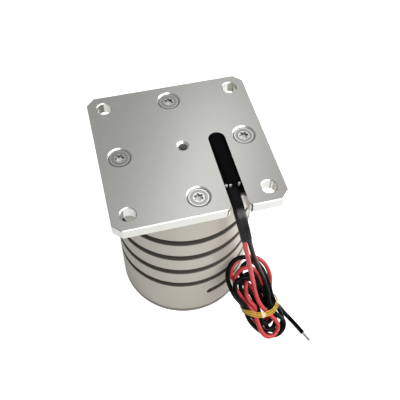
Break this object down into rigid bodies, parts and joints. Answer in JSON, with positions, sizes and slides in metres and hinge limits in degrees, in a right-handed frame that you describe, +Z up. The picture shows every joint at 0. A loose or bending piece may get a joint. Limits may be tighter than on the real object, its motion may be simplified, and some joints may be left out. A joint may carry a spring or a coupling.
{
  "type": "voice coil motor",
  "caption": "Moving-coil linear motor: a square drilled plate on a helically slotted spring tube, with a sleeved pair of leads in a tied hank.",
  "frame": {"origin": "centre of the underside of the base plate, on the motor's axis", "axes": "+Z up along the stroke from the base to the square plate; -Y towards the edge of the plate that the leads leave over; +X right of it"},
  "size_m": [0.097, 0.1106, 0.106],
  "materials": {
    "plate": "satin brushed",
    "screws": "polished stainless",
    "tube": "fine turned, warm grey",
    "base": "turned, darker grey",
    "iron": "zinc plated soft iron",
    "magnet": "nickel plated",
    "bush": "plain bearing bronze",
    "bump": "matte",
    "former": "satin",
    "copper": "enamelled copper wire",
    "shaft": "ground",
    "splice": "crimped",
    "potting": "gloss epoxy",
    "sleeve": "satin heat-shrink tube",
    "red_lead": "soft satin insulation",
    "black_lead": "soft satin insulation",
    "hank": "soft satin insulation, red and black",
    "tie": "twist tie, gold yellow",
    "strands": "tinned copper"
  },
  "bodies": {
    "base": {"base_plate": "base", "base_screws": "screws", "spring_tube": "tube", "yoke_cup": "iron", "yoke_screws": "screws", "magnet_ring": "magnet", "pole_piece": "iron", "lower_bush": "bush", "upper_bush": "bush", "bump_washer": "bump", "lead_red": "red_lead", "lead_black": "black_lead", "lead_hank": "hank", "hank_tie": "tie", "tail_red": "red_lead", "tail_black": "black_lead", "tip_red": "strands", "tip_black": "strands"},
    "mover": {"top_plate": "plate", "plate_screws": "screws", "coil_former": "former", "coil_winding": "copper", "coil_tails": "copper", "guide_shaft": "shaft", "stop_ring": "shaft", "lead_splices": "splice", "potting": "potting", "shrink_sleeve": "sleeve"}
  },
  "joints": [
    {"name": "plate_slide", "type": "slide", "parent": "base", "child": "mover", "axis": [0, 0, 1], "range_m": [-0.004, 0.004], "stiffness_N_per_m": 8000, "springref_m": 0.00035, "deforming": ["spring_tube", "lead_red", "lead_black"]}
  ]
}
